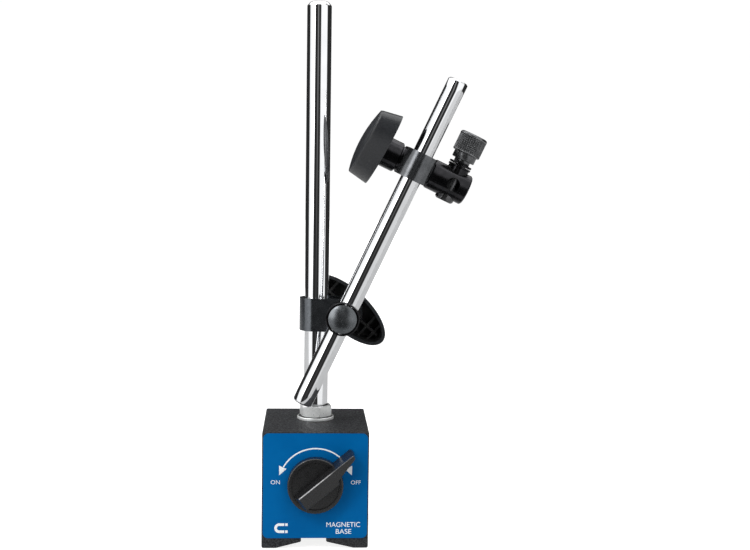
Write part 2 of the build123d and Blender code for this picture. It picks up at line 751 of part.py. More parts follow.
export("left_pole_block", left_pole)
export("right_pole_block", right_pole)
export("upper_spacer", upper_spacer.part)
export("lower_spacer", lower_spacer.part)
export("front_bearing_plate", front_bearing_plate.part)
export("rear_bearing_plate", rear_bearing_plate.part)
export("label_plate", label_plate.part)
export("rear_cover", rear_cover.part)
export("rear_cover_screws", rear_cover_screws.part)
export("rotor_magnet", rotor_magnet.part)
export("rotor_shoes", rotor_shoes.part)
export("rotor_front_cap", rotor_front_cap.part)
export("rotor_rear_cap", rotor_rear_cap.part)
export("switch_spindle", switch_spindle.part)
export("stop_pin", stop_pin.part)
export("detent_ball", detent_ball.part)
export("detent_spring", detent_spring.part)
export("switch_knob", switch_knob.part)
export("column", column.part)
export("column_washer", column_washer.part)
export("column_nut", column_nut.part)
export("column_strap", column_strap)
export("swivel_bolt", swivel_bolt.part)
export("pressure_sleeve", pressure_sleeve.part)
export("lower_washer", lower_washer)
export("lower_knob_hub", lower_hub)
export("lower_knob_grip", lower_grip)
export("arm", arm.part)
export("arm_strap", arm_strap)
export("stem_block", stem_block.part)
export("upper_washer", upper_washer)
export("upper_knob_hub", upper_hub)
export("upper_knob_grip", upper_grip)
export("draw_pin", draw_pin.part)
export("spring_washers", spring_washers.part)
export("thumb_nut", thumb_nut.part)
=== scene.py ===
import json
import math

import bmesh
import bpy
import numpy as np
from mathutils import Matrix, Vector


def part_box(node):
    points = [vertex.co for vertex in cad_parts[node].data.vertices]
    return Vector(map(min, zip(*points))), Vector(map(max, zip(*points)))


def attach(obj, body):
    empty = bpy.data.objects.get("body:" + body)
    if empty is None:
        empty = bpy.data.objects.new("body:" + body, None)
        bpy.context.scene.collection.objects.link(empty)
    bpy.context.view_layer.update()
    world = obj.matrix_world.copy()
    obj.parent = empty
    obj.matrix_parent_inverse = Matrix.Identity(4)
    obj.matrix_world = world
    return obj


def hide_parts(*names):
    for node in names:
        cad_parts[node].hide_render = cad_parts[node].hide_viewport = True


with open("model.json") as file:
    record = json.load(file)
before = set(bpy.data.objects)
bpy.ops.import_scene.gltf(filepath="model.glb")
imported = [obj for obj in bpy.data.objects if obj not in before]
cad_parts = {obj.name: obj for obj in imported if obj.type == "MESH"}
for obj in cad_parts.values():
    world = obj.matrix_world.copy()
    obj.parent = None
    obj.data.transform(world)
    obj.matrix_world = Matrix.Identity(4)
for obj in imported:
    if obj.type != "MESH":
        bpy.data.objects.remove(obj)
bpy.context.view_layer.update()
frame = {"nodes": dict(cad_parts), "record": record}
scene = bpy.context.scene
nodes = frame["nodes"]
MM = 0.001

# --------------------------------------------------------------------------
# Camera
# --------------------------------------------------------------------------

cam_data = bpy.data.cameras.new("camera")
cam = bpy.data.objects.new("camera", cam_data)
scene.collection.objects.link(cam)
scene.camera = cam
cam_at = Vector((-0.004257, -0.582405, 0.178342))
cam_right = Vector((0.99836632, -0.05536155, 0.01413484))
cam_up = Vector((-0.00938435, 0.08514692, 0.99632421))
cam_fwd = Vector((0.05636159, 0.99482918, -0.08448829))
m = Matrix.Identity(4)
for i in range(3):
    m[i][0], m[i][1], m[i][2], m[i][3] = cam_right[i], cam_up[i], -cam_fwd[i], cam_at[i]
cam.matrix_world = m
cam_data.sensor_width = 36.0
cam_data.lens = 1180.394 * 36.0 / 750.0
cam_data.clip_start = 0.01
cam_data.clip_end = 50.0

# --------------------------------------------------------------------------
# Shader building
# --------------------------------------------------------------------------


class Mat:
    """A node material with the few helpers used below. Lengths are metres."""

    def __init__(self, name, base, rough, metal=0.0, **more):
        self.m = bpy.data.materials.new(name)
        self.m.use_nodes = True
        self.nt = self.m.node_tree
        self.nt.nodes.clear()
        out = self.n("ShaderNodeOutputMaterial")
        self.b = self.n("ShaderNodeBsdfPrincipled")
        self.nt.links.new(self.b.outputs[0], out.inputs[0])
        self.b.inputs["Base Color"].default_value = (*base, 1)
        self.b.inputs["Roughness"].default_value = rough
        self.b.inputs["Metallic"].default_value = metal
        for k, v in more.items():
            self.b.inputs[k.replace("_", " ")].default_value = v
        self.co = self.n("ShaderNodeTexCoord").outputs["Object"]
        self.height = None

    def n(self, kind, **props):
        node = self.nt.nodes.new(kind)
        for k, v in props.items():
            setattr(node, k, v)
        return node

    def put(self, socket, value):
        if isinstance(value, bpy.types.NodeSocket):
            self.nt.links.new(value, socket)
        else:
            socket.default_value = value

    def math(self, op, a, b=0.0, c=0.0, clamp=False):
        node = self.n("ShaderNodeMath", operation=op, use_clamp=clamp)
        for s, v in zip(node.inputs, (a, b, c)):
            self.put(s, v)
        return node.outputs[0]

    def vec(self, op, a, b=(0, 0, 0)):
        node = self.n("ShaderNodeVectorMath", operation=op)
        self.put(node.inputs[0], a)
        self.put(node.inputs[1], b)
        return node.outputs["Value"] if op in ("DOT_PRODUCT", "LENGTH") else node.outputs[0]

    def stretched(self, scale, rot=(0, 0, 0), loc=(0, 0, 0), co=None):
        node = self.n("ShaderNodeMapping")
        self.put(node.inputs[0], co if co is not None else self.co)
        node.inputs["Scale"].default_value = scale
        node.inputs["Rotation"].default_value = rot
        node.inputs["Location"].default_value = loc
        return node.outputs[0]

    def noise(self, scale, detail=3.0, rough=0.55, co=None, dist=0.0):
        node = self.n("ShaderNodeTexNoise")
        self.put(node.inputs["Vector"], co if co is not None else self.co)
        node.inputs["Scale"].default_value = scale
        node.inputs["Detail"].default_value = detail
        node.inputs["Roughness"].default_value = rough
        node.inputs["Distortion"].default_value = dist
        return node.outputs["Fac"]

    def cells(self, scale, feature="F1", co=None, rand=1.0):
        node = self.n("ShaderNodeTexVoronoi", feature=feature)
        self.put(node.inputs["Vector"], co if co is not None else self.co)
        node.inputs["Scale"].default_value = scale
        node.inputs["Randomness"].default_value = rand
        return node.outputs["Distance"]

    def span(self, value, a, b, lo=0.0, hi=1.0, smooth=True):
        node = self.n("ShaderNodeMapRange", interpolation_type="SMOOTHSTEP" if smooth else "LINEAR")
        self.put(node.inputs["Value"], value)
        node.inputs["From Min"].default_value = a
        node.inputs["From Max"].default_value = b
        node.inputs["To Min"].default_value = lo
        node.inputs["To Max"].default_value = hi
        return node.outputs[0]

    def mix(self, fac, a, b):
        node = self.n("ShaderNodeMix", data_type="RGBA")
        self.put(node.inputs["Factor"], fac)
        for s, v in ((node.inputs[6], a), (node.inputs[7], b)):
            self.put(s, (*v, 1) if isinstance(v, tuple) else v)
        return node.outputs[2]

    def color(self, socket):
        self.nt.links.new(socket, self.b.inputs["Base Color"])
        return self

    def rough(self, socket):
        self.nt.links.new(socket, self.b.inputs["Roughness"])
        return self

    def metal(self, socket):
        self.nt.links.new(socket, self.b.inputs["Metallic"])
        return self

    def bump(self, height, distance, strength=1.0):
        node = self.n("ShaderNodeBump")
        node.inputs["Strength"].default_value = strength
        node.inputs["Distance"].default_value = distance
        self.put(node.inputs["Height"], height)
        if self.height is not None:
            self.nt.links.new(self.height, node.inputs["Normal"])
        self.height = node.outputs[0]
        self.nt.links.new(self.height, self.b.inputs["Normal"])
        return self

    def near(self, coord, at, width):
        """1 where coord is within width of at, falling to 0."""
        return self.span(self.math("ABSOLUTE", self.math("SUBTRACT", coord, at)), 0.0, width, 1.0, 0.0)

    def xyz(self):
        node = self.n("ShaderNodeSeparateXYZ")
        self.put(node.inputs[0], self.co)
        return node.outputs


def wear_spots(s, scale, low, high, co=None):
    return s.span(s.noise(scale, 6.0, 0.7, co), low, high)


# --------------------------------------------------------------------------
# Materials
# --------------------------------------------------------------------------


def powder_coat():
    """Black textured powder coat over iron, rubbed along the block's edges."""
    s = Mat("body_paint", (0.02, 0.021, 0.023), 0.55, Specular_IOR_Level=0.32)
    x, y, z = s.xyz()
    ax = s.math("ABSOLUTE", x)
    side, front, back = s.near(ax, 0.0255, 0.0009), s.near(y, -0.0295, 0.0008), s.near(y, 0.0285, 0.0008)
    top, foot = s.near(z, 0.056, 0.0009), s.near(z, 0.0, 0.0012)
    e = s.math("MULTIPLY", side, s.math("MAXIMUM", top, s.math("MAXIMUM", foot, s.math("MAXIMUM", front, back))))
    e = s.math("MAXIMUM", e, s.math("MULTIPLY", top, s.math("MAXIMUM", front, back)))
    rub = s.math("MULTIPLY", e, wear_spots(s, 420.0, 0.42, 0.72))
    # orange peel about 0.7 mm across, with finer grain in it
    peel = s.noise(1350.0, 2.0, 0.55)
    grain = s.noise(3600.0, 2.0, 0.6)
    cloud = s.noise(90.0, 4.0, 0.6)
    both = s.math("ADD", s.math("MULTIPLY", peel, 0.7), s.math("MULTIPLY", grain, 0.3))
    c = s.mix(s.span(both, 0.41, 0.60), (0.0050, 0.0053, 0.0062), (0.042, 0.044, 0.048))
    c = s.mix(s.math("MULTIPLY", s.span(cloud, 0.4, 0.75), 0.35), c, (0.030, 0.031, 0.033))
    dust = s.math("MULTIPLY", s.span(s.noise(1500.0, 3.0, 0.7), 0.66, 0.8), 0.3)
    c = s.mix(dust, c, (0.10, 0.10, 0.102))
    c = s.mix(s.math("MULTIPLY", rub, 0.5), c, (0.14, 0.14, 0.145))
    s.color(c)
    s.rough(s.math("SUBTRACT", s.span(both, 0.36, 0.7, 0.66, 0.44), s.math("MULTIPLY", rub, 0.12)))
    s.metal(s.math("MULTIPLY", rub, 0.5))
    s.bump(peel, 0.00016, 0.7)
    s.bump(s.cells(1500.0, "SMOOTH_F1"), 0.00008, 0.35)
    return s.m


def blue_plate():
    """Printed plate: satin blue enamel with a fine screen grain and light scuffs."""
    s = Mat("label_blue", (0.0, 0.12, 0.36), 0.42, Specular_IOR_Level=0.05)
    grain = s.noise(5200.0, 2.0, 0.5)
    cloud = s.noise(60.0, 4.0, 0.55)
    c = s.mix(s.span(cloud, 0.35, 0.7), (0.0, 0.113, 0.345), (0.0, 0.126, 0.375))
    c = s.mix(s.math("MULTIPLY", s.span(grain, 0.4, 0.75), 0.18), c, (0.0, 0.142, 0.41))
    x, y, z = s.xyz()
    # faint rub ring where fingers pass round the knob
    r = s.math("SQRT", s.math("ADD", s.math("POWER", x, 2.0), s.math("POWER", s.math("SUBTRACT", z, 0.0312), 2.0)))
    ring = s.math("MULTIPLY", s.near(r, 0.0148, 0.0035), wear_spots(s, 300.0, 0.45, 0.75))
    c = s.mix(s.math("MULTIPLY", ring, 0.12), c, (0.015, 0.17, 0.40))
    s.color(c)
    scr = s.noise(1.0, 3.0, 0.6, s.stretched((260.0, 260.0, 2600.0), rot=(0, 0.5, 0)))
    s.rough(s.math("ADD", s.span(cloud, 0.3, 0.8, 0.38, 0.48), s.math("MULTIPLY", s.span(scr, 0.62, 0.7), 0.08)))
    s.bump(grain, 0.00002, 0.25)
    return s.m


def moulded_black(name, lo, hi, rough_lo, rough_hi, grain_scale, grain_depth, spec=0.45, tint=(1, 1, 1), scuff=0.15, whole=False):
    """Moulded black plastic: spark-eroded grain, faint flow marks and scuffs."""
    s = Mat(name, lo, rough_lo, Specular_IOR_Level=spec)
    grain = s.noise(grain_scale, 2.0, 0.5)
    flow = s.noise(70.0, 3.0, 0.5, dist=1.2)
    c = s.mix(s.span(grain, 0.35, 0.7), lo, hi)
    c = s.mix(s.math("MULTIPLY", s.span(flow, 0.4, 0.75), 0.3), c, tuple(1.25 * h * t for h, t in zip(hi, tint)))
    sc = s.math("MULTIPLY", wear_spots(s, 520.0, 0.60, 0.78), scuff)
    c = s.mix(sc, c, (0.12, 0.12, 0.125))
    s.color(c)
    s.rough(s.math("ADD", s.span(s.noise(900.0, 3.0, 0.6), 0.3, 0.75, rough_lo, rough_hi), s.math("MULTIPLY", sc, 0.25)))
    s.bump(grain, grain_depth, 0.8)
    return s if whole else s.m


def chrome(name, axis):
    """Hard chrome rod: near mirror, with fine ground rings round its axis and faint handling haze."""
    s = Mat(name, (0.84, 0.85, 0.865), 0.05, 1.0)
    along = s.vec("DOT_PRODUCT", s.co, axis)
    comb = s.n("ShaderNodeCombineXYZ")
    s.put(comb.inputs[0], along)
    rings = s.noise(9000.0, 3.0, 0.65, comb.outputs[0])
    broad = s.noise(260.0, 3.0, 0.6, comb.outputs[0])
    haze = s.noise(110.0, 5.0, 0.6)
    spots = s.span(s.noise(1400.0, 4.0, 0.75), 0.70, 0.78)
    r = s.span(haze, 0.35, 0.8, 0.035, 0.085)
    r = s.math("ADD", r, s.span(rings, 0.45, 0.8, 0.0, 0.035))
    r = s.math("ADD", r, s.math("MULTIPLY", spots, 0.08))
    s.rough(r)
    c = s.mix(s.span(haze, 0.3, 0.8), (0.86, 0.87, 0.885), (0.80, 0.81, 0.825))
    c = s.mix(s.math("MULTIPLY", spots, 0.35), c, (0.55, 0.55, 0.55))
    s.color(c)
    s.bump(rings, 0.0000012, 0.5)
    s.bump(broad, 0.000004, 0.35)
    return s.m


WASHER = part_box("column_washer")
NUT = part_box("column_nut")


def zinc():
    """Satin zinc plate: mottled, slightly milky, with tool marks."""
    s = Mat("zinc_steel", (0.80, 0.82, 0.82), 0.3, 0.5)
    blot = s.noise(620.0, 4.0, 0.65)
    fine = s.noise(2600.0, 3.0, 0.6)
    c = s.mix(s.span(blot, 0.35, 0.65), (0.84, 0.86, 0.85), (0.97, 0.985, 0.98))
    c = s.mix(s.math("MULTIPLY", s.span(fine, 0.55, 0.75), 0.25), c, (0.6, 0.61, 0.6))
    # painted shade in the corner between the washer and the nut, and round the column
    flat = s.vec("MULTIPLY", s.vec("SUBTRACT", s.co, (0.0, 0.004, 0.0)), (1.0, 1.0, 0.0))
    r = s.vec("LENGTH", flat)
    z = s.xyz()[2]
    wr = (WASHER[1][0] - WASHER[0][0]) / 2
    low = s.math("MULTIPLY", s.span(z, WASHER[1][2] - 0.00012, WASHER[1][2] - 0.00004), s.span(z, WASHER[1][2] + 0.00015, WASHER[1][2] + 0.00035, 1.0, 0.0))
    low = s.math("MULTIPLY", low, s.span(r, wr - 0.00065, wr - 0.00040, 1.0, 0.0))
    ring = s.math("MULTIPLY", s.span(z, NUT[1][2] - 0.0001, NUT[1][2] - 0.00003), s.span(r, 0.00615, 0.0064, 1.0, 0.0))
    painted_shade = s.math("MULTIPLY", s.math("MAXIMUM", low, ring), s.span(s.noise(900.0, 3.0, 0.6), 0.2, 0.5, 0.75, 0.95))
    # painted highlight: the turned chamfers of the nut are painted near white, brighter than its flats
    up = s.math("SUBTRACT", z, NUT[0][2])
    ends = s.math("MINIMUM", up, s.math("SUBTRACT", NUT[1][2] - NUT[0][2], up))
    cone = s.math("ADD", s.math("MULTIPLY", ends, 1.3 / 0.75), 0.00725)
    cut = s.span(s.math("SUBTRACT", r, cone), -0.00007, -0.00002)
    cut = s.math("MULTIPLY", cut, s.math("MULTIPLY", s.span(z, NUT[0][2] + 0.00003, NUT[0][2] + 0.0001), s.span(z, NUT[1][2] - 0.0001, NUT[1][2] - 0.00003, 1.0, 0.0)))
    c = s.mix(cut, c, (1.0, 1.0, 1.0))
    c = s.mix(painted_shade, c, (0.030, 0.031, 0.033))
    s.color(c)
    base_r = s.math("SUBTRACT", s.span(blot, 0.3, 0.75, 0.36, 0.26), s.math("MULTIPLY", cut, 0.1))
    s.rough(s.math("MAXIMUM", base_r, s.math("MULTIPLY", painted_shade, 0.6)))
    s.bump(fine, 0.000006, 0.5)
    s.bump(blot, 0.00003, 0.3)
    return s.m


def oxide(name, lo, hi, rough_lo, rough_hi, brush=0.0, axis=None, wear=0.25, metal=0.9):
    """Black oxide on steel: a thin dark film, faintly mottled, rubbed to metal in small spots."""
    s = Mat(name, lo, rough_lo, metal, Specular_IOR_Level=0.5)
    blot = s.noise(260.0, 5.0, 0.6)
    fine = s.noise(2400.0, 3.0, 0.6)
    c = s.mix(s.span(blot, 0.35, 0.75), lo, hi)
    c = s.mix(s.math("MULTIPLY", s.span(fine, 0.45, 0.75), 0.35), c, tuple(1.35 * v for v in hi))
    rub = s.math("MULTIPLY", s.span(s.noise(760.0, 6.0, 0.75), 0.63, 0.76), wear)
    c = s.mix(rub, c, (0.36, 0.36, 0.365))
    s.color(c)
    r = s.span(blot, 0.3, 0.8, rough_lo, rough_hi)
    r = s.math("ADD", r, s.math("MULTIPLY", s.span(fine, 0.4, 0.8), 0.06))
    s.rough(r)
    s.bump(fine, 0.00002, 0.45)
    if axis is not None:
        comb = s.n("ShaderNodeCombineXYZ")
        s.put(comb.inputs[0], s.vec("DOT_PRODUCT", s.co, axis))
        s.bump(s.noise(5000.0, 2.0, 0.6, comb.outputs[0]), 0.000012, brush)
    return s.m


def machined(name, lo, hi, rough, metal=1.0, scale=1800.0):
    """Plain machined or ground metal of the inner pieces."""
    s = Mat(name, lo, rough, metal)
    a = s.noise(scale, 3.0, 0.6, s.stretched((1.0, 0.12, 1.0)))
    b = s.noise(160.0, 4.0, 0.6)
    c = s.mix(s.span(a, 0.35, 0.7), lo, hi)
    c = s.mix(s.math("MULTIPLY", s.span(b, 0.45, 0.75), 0.3), c, tuple(0.7 * v for v in lo))
    s.color(c)
    s.rough(s.span(b, 0.3, 0.8, rough - 0.08, rough + 0.1))
    s.bump(a, 0.00003, 0.4)
    return s.m


UP = (0.0, 0.0, 1.0)
ARM = (0.421824, -0.038388, 0.905862)
KNOBWARD = (-0.906461, -0.039880, 0.420403)
LOW_AXIS = (0.090633, 0.995884, 0.0)

M = {
    "body_paint": powder_coat(),
    "label_blue": blue_plate(),
    "chrome": chrome("chrome", UP),
    "chrome_arm": chrome("chrome_arm", ARM),
    "zinc_steel": zinc(),
    "black_oxide": oxide("black_oxide", (0.098, 0.107, 0.117), (0.150, 0.160, 0.172), 0.14, 0.19, 0.3, UP),
    "black_oxide_arm": oxide("black_oxide_arm", (0.105, 0.110, 0.116), (0.165, 0.171, 0.180), 0.17, 0.24, 0.35, ARM),
    "dome": oxide("dome", (0.100, 0.108, 0.115), (0.150, 0.159, 0.168), 0.22, 0.30, 0.0, None, 0.3),
    "gloss_black_steel": oxide("gloss_black_steel", (0.022, 0.022, 0.024), (0.042, 0.041, 0.045), 0.13, 0.19, 0.4, KNOBWARD, 0.10),
    "gloss_black_ring": oxide("gloss_black_ring", (0.022, 0.022, 0.024), (0.040, 0.040, 0.043), 0.14, 0.20, 0.3, LOW_AXIS, 0.10),
    "pin_steel": oxide("pin_steel", (0.090, 0.091, 0.094), (0.150, 0.151, 0.156), 0.20, 0.30, 0.6, ARM, 0.3),
    "knob_plastic": moulded_black("knob_plastic", (0.015, 0.0165, 0.019), (0.026, 0.028, 0.032), 0.30, 0.40, 2200.0, 0.00006, 0.6, scuff=0.10),
    "plate_aluminium": machined("plate_aluminium", (0.55, 0.55, 0.56), (0.72, 0.72, 0.73), 0.35),
    "ferrite": machined("ferrite", (0.05, 0.05, 0.055), (0.08, 0.08, 0.085), 0.6, 0.3),
    "soft_steel": machined("soft_steel", (0.42, 0.42, 0.43), (0.6, 0.6, 0.61), 0.34),
    "pole_iron": machined("pole_iron", (0.16, 0.16, 0.16), (0.26, 0.26, 0.265), 0.45),
    "spacer_brass": machined("spacer_brass", (0.42, 0.31, 0.13), (0.60, 0.46, 0.21), 0.38),
}
paint_of = {
    "column_strap": "black_oxide", "arm_strap": "black_oxide_arm", "swivel_bolt": "dome",
    "pressure_sleeve": "gloss_black_ring", "lower_washer": "gloss_black_ring", "lower_knob_hub": "gloss_black_ring",
    "lower_knob_grip": "knob_plastic_low", "arm": "chrome_arm", "rear_cover_screws": "black_oxide", "draw_pin": "pin_steel", "thumb_nut": "knurl",
}


def paint_cavity_shade(s, node, axis, shade_colour=(0.0012, 0.0012, 0.0014)):
    """Painted shade: darkens the inside of a hollow grip, which opens towards -axis."""
    a = Vector(axis)
    co = np.empty(len(node.data.vertices) * 3)
    node.data.vertices.foreach_get("co", co)
    co = co.reshape(-1, 3)
    low = float((co @ np.array(axis)).min())
    mid = Vector((co.min(0) + co.max(0)) / 2)
    rel = s.vec("SUBTRACT", s.co, tuple(mid))
    down = s.vec("DOT_PRODUCT", s.co, axis)
    depth = s.span(down, low + 0.0003, low + 0.0022)
    scaled = s.n("ShaderNodeVectorMath", operation="SCALE")
    scaled.inputs[0].default_value = axis
    s.put(scaled.inputs["Scale"], s.vec("DOT_PRODUCT", rel, axis))
    out = s.vec("SUBTRACT", rel, scaled.outputs[0])
    normal = s.n("ShaderNodeTexCoord").outputs["Normal"]
    inward = s.span(s.vec("DOT_PRODUCT", normal, out), -0.0012, -0.0002, 1.0, 0.0)
    facing = s.span(s.vec("DOT_PRODUCT", normal, axis), -0.6, -0.3, 1.0, 0.0)
    cavity_shade_mask = s.math("MULTIPLY", depth, s.math("MAXIMUM", inward, facing))
    link = s.b.inputs["Base Color"].links[0]
    s.color(s.mix(cavity_shade_mask, link.from_socket, shade_colour))
    rl = s.b.inputs["Roughness"].links[0].from_socket
    s.rough(s.math("MAXIMUM", rl, s.math("MULTIPLY", cavity_shade_mask, 0.7)))


slot_of = {p["node"]: p["material_slot"] for p in frame["record"]["subparts"]}


STEM_AT = (0.0654774, -0.0030620, 0.1746183)


def knurl_steel():
    """Black oxide on the cut knurl: dark in the grooves, rubbed bright on the points."""
    s = Mat("knurl", (0.1, 0.1, 0.105), 0.3, 0.9)
    rel = s.vec("SUBTRACT", s.co, STEM_AT)
    along = s.vec("DOT_PRODUCT", rel, ARM)
    scaled = s.n("ShaderNodeVectorMath", operation="SCALE")
    scaled.inputs[0].default_value = ARM
    s.put(scaled.inputs["Scale"], along)
    r = s.vec("LENGTH", s.vec("SUBTRACT", rel, scaled.outputs[0]))
    head = s.math("MULTIPLY", s.span(along, 0.0163, 0.0167), s.span(along, 0.0250, 0.0254, 1.0, 0.0))
    groove = s.math("MULTIPLY", head, s.span(r, 0.00655, 0.00690, 1.0, 0.0))
    point = s.math("MULTIPLY", head, s.span(r, 0.00698, 0.00706))
    blot = s.noise(420.0, 4.0, 0.6)
    c = s.mix(s.span(blot, 0.35, 0.7), (0.120, 0.123, 0.127), (0.190, 0.194, 0.200))
    c = s.mix(point, c, s.mix(s.span(s.noise(1100.0, 4.0, 0.7), 0.4, 0.65), (0.20, 0.205, 0.21), (0.34, 0.345, 0.35)))
    c = s.mix(s.math("MULTIPLY", groove, 0.8), c, (0.020, 0.020, 0.021))
    s.color(c)
    s.rough(s.span(blot, 0.3, 0.75, 0.26, 0.38))
    s.bump(s.noise(2400.0, 3.0, 0.6), 0.00002, 0.4)
    return s.m


M["knurl"] = knurl_steel()


def paint_ridge_highlight(s):
    """Painted highlight: lightens a line along the knob's ridge, fading towards the tip."""
    up = (-0.633381, 0.0, 0.773840)
    rel = s.vec("SUBTRACT", s.co, (0.0, 0.0, 0.0312))
    w = s.vec("DOT_PRODUCT", rel, up)
    along = s.vec("DOT_PRODUCT", rel, (0.773840, 0.0, 0.633381))
    y = s.xyz()[1]
    line = s.math("MULTIPLY", s.near(w, 0.00134, 0.00046), s.span(y, RIDGE_Y + 0.0005, RIDGE_Y + 0.0002))
    line = s.math("MULTIPLY", line, s.span(along, 0.006, 0.013, 1.0, 0.12))
    line = s.math("MULTIPLY", line, s.span(s.noise(500.0, 4.0, 0.6), 0.25, 0.5, 0.55, 1.0))
    s.color(s.mix(line, s.b.inputs["Base Color"].links[0].from_socket, (0.55, 0.55, 0.56)))


RIDGE_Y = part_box("switch_knob")[0][1]
low_grip = moulded_black("knob_plastic_low", (0.015, 0.0165, 0.019), (0.026, 0.028, 0.032), 0.30, 0.40, 2200.0, 0.00006, 0.6, scuff=0.10, whole=True)
paint_cavity_shade(low_grip, nodes["lower_knob_grip"], LOW_AXIS)
M["knob_plastic_low"] = low_grip.m
switch_mat = moulded_black("switch_plastic", (0.006, 0.006, 0.0065), (0.013, 0.013, 0.014), 0.24, 0.34, 2600.0, 0.00002, 0.6, scuff=0.12, whole=True)
paint_ridge_highlight(switch_mat)
M["switch_plastic"] = switch_mat.m
for name, o in nodes.items():
    mat = M[paint_of.get(name, slot_of[name])]
    if not o.material_slots:
        o.data.materials.append(mat)
    for ms in o.material_slots:
        ms.material = mat

# --------------------------------------------------------------------------
# Finely made pieces that stand for round CAD nodes
# --------------------------------------------------------------------------


def new_object(name, bm, mat, body, sharp=35.0):
    bmesh.ops.recalc_face_normals(bm, faces=bm.faces)
    me = bpy.data.meshes.new(name)
    bm.to_mesh(me)
    bm.free()
    for p in me.polygons:
        p.use_smooth = True
    me.set_sharp_from_angle(angle=math.radians(sharp))
    me.materials.append(mat)
    o = bpy.data.objects.new(name, me)
    scene.collection.objects.link(o)
    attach(o, body)
    return o


def axes(z_dir, x_hint):
    z = Vector(z_dir).normalized()
    x = Vector(x_hint)
    x = (x - z * x.dot(z)).normalized()
    return x, z.cross(x), z


def lathe(name, profile, origin, z_dir, mat, body, segs=160, relief=None, sharp=35.0, x_hint=(1, 0, 0)):
    """Closed solid of revolution. profile is [(radius, height)] in mm from the axis at one
    end to the axis at the other; relief(angle, radius, height) may move a point's radius."""
    x, y, z = axes(z_dir, x_hint)
    o = Vector(origin)
    bm = bmesh.new()
    rings = []
    for r, h in profile:
        if r < 1e-9:
            rings.append([bm.verts.new(o + z * (h * MM))])
            continue
        ring = []
        for k in range(segs):
            a = 2 * math.pi * k / segs
            rr = r if relief is None else relief(a, r, h)
            ring.append(bm.verts.new(o + z * (h * MM) + (x * math.cos(a) + y * math.sin(a)) * (rr * MM)))
        rings.append(ring)
    for a, b in zip(rings, rings[1:]):
        for k in range(segs):
            j = (k + 1) % segs
            if len(a) == 1 and len(b) == 1:
                continue
            if len(a) == 1:
                bm.faces.new((a[0], b[k], b[j]))
            elif len(b) == 1:
                bm.faces.new((a[k], b[0], a[j]))
            else:
                bm.faces.new((a[k], a[j], b[j], b[k]))
    return new_object(name, bm, mat, body, sharp)


def arc_pts(r0, h0, r, a0, a1, n):
    return [(r0 + r * math.cos(math.radians(a0 + (a1 - a0) * i / n)), h0 + r * math.sin(math.radians(a0 + (a1 - a0) * i / n))) for i in range(n + 1)]


# column: the turned end has a small rounded chamfer
col = lathe(
    "column_rod",
    [(0, 47.1), (3.35, 47.1), (3.95, 47.7), (3.95, 63.3), (5.35, 63.3), (5.4, 63.95), (5.95, 64.0), (6.0, 64.06), (6.0, 64.2)]
    + [(6.0, 64.2 + (259.7 - 64.2) * i / 40) for i in range(1, 41)]
    + [(6.0, 260.0), (5.93, 260.3), (4.98, 261.5), (4.78, 261.72), (4.5, 261.95), (4.15, 262.13), (3.75, 262.23), (3.5, 262.25), (0, 262.25)],
    (0, 0.004, 0), UP, M["chrome"], "column", 192,
)
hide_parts("column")

arm_start = Vector((0.012945, -0.013746, 0.1091)) - Vector(ARM) * 0.0467
rod = lathe(
    "arm_rod",
    [(0, 0.03), (4.1, 0.03), (4.35, 0.12), (4.92, 0.62), (5.0, 0.8)]
    + [(5.0, 0.8 + 171.4 * i / 36) for i in range(1, 37)]
    + [(4.92, 172.38), (4.35, 172.88), (4.1, 172.97), (0, 172.97)],
    arm_start, ARM, M["chrome_arm"], "arm", 176,
)
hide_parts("arm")

# thumb nut with a cut diamond knurl
stem_at = Vector((0.0654774, -0.0030620, 0.1746183))
starts = 36


def knurl(a, r, h):
    if not 16.75 < h < 24.85 or r < 6.5:
        return r
    pitch = 2 * math.pi * 7.05 / starts
    u = a / (2 * math.pi) * starts
    v = h / pitch
    t1 = math.sin(math.pi * (u + v)) ** 2
    t2 = math.sin(math.pi * (u - v)) ** 2
    fade = min(1.0, (h - 16.75) / 0.35, (24.85 - h) / 0.35)
    return r - 0.42 * fade * (1 - min(t1, t2) ** 0.5)


knurl_rows = [(7.045, 16.72 + 8.16 * i / 96) for i in range(97)]
nut = lathe(
    "knurled_nut",
    [(2.55, 11.0), (3.9, 11.0), (4.0, 11.1), (4.0, 12.7), (5.55, 12.7), (5.8, 12.95), (5.8, 15.95), (6.5, 16.0), (7.045, 16.5)]
    + knurl_rows
    + arc_pts(5.84, 25.0, 1.2, 4, 90, 8)
    + [(2.9, 26.2), (2.9, 26.0), (2.2, 25.3), (0, 25.3)],
    stem_at, ARM, M["knurl"], "thumb_nut", 416, knurl, 60.0,
)
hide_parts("thumb_nut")

# draw pin, turned about its own axis so that its cross hole stands across the block's hole
pin_mesh = nodes["draw_pin"].data.copy()
turn = Matrix.Translation(stem_at) @ Matrix.Rotation(math.radians(62.0), 4, Vector(ARM)) @ Matrix.Translation(-stem_at)
pin_mesh.transform(turn)
pin = bpy.data.objects.new("draw_pin_turned", pin_mesh)
scene.collection.objects.link(pin)
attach(pin, "draw_pin")
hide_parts("draw_pin")

# --------------------------------------------------------------------------
# Print on the plate
# --------------------------------------------------------------------------

INK_Y = -0.03003
ink = Mat("label_ink", (0.96, 0.98, 1.0), 0.4, Specular_IOR_Level=0.4)
ink_fade = ink.noise(900.0, 4.0, 0.6)
ink.color(ink.mix(ink.span(ink_fade, 0.35, 0.7), (0.91, 0.95, 0.98), (0.965, 0.985, 1.0)))
ink.bump(ink.noise(5200.0, 2.0, 0.5), 0.00001, 0.3)


def ink_face(name, loops):
    """Thin raised print: each loop is a list of (x, z) in mm, counter-clockwise."""
    bm = bmesh.new()
    for loop in loops:
        vs = [bm.verts.new((x * MM, INK_Y, z * MM)) for x, z in loop]
        bm.faces.new(vs)
    r = bmesh.ops.extrude_face_region(bm, geom=list(bm.faces))
    for v in r["geom"]:
        if isinstance(v, bmesh.types.BMVert):
            v.co.y += 0.00002
    return new_object(name, bm, ink.m, "base", 30.0)


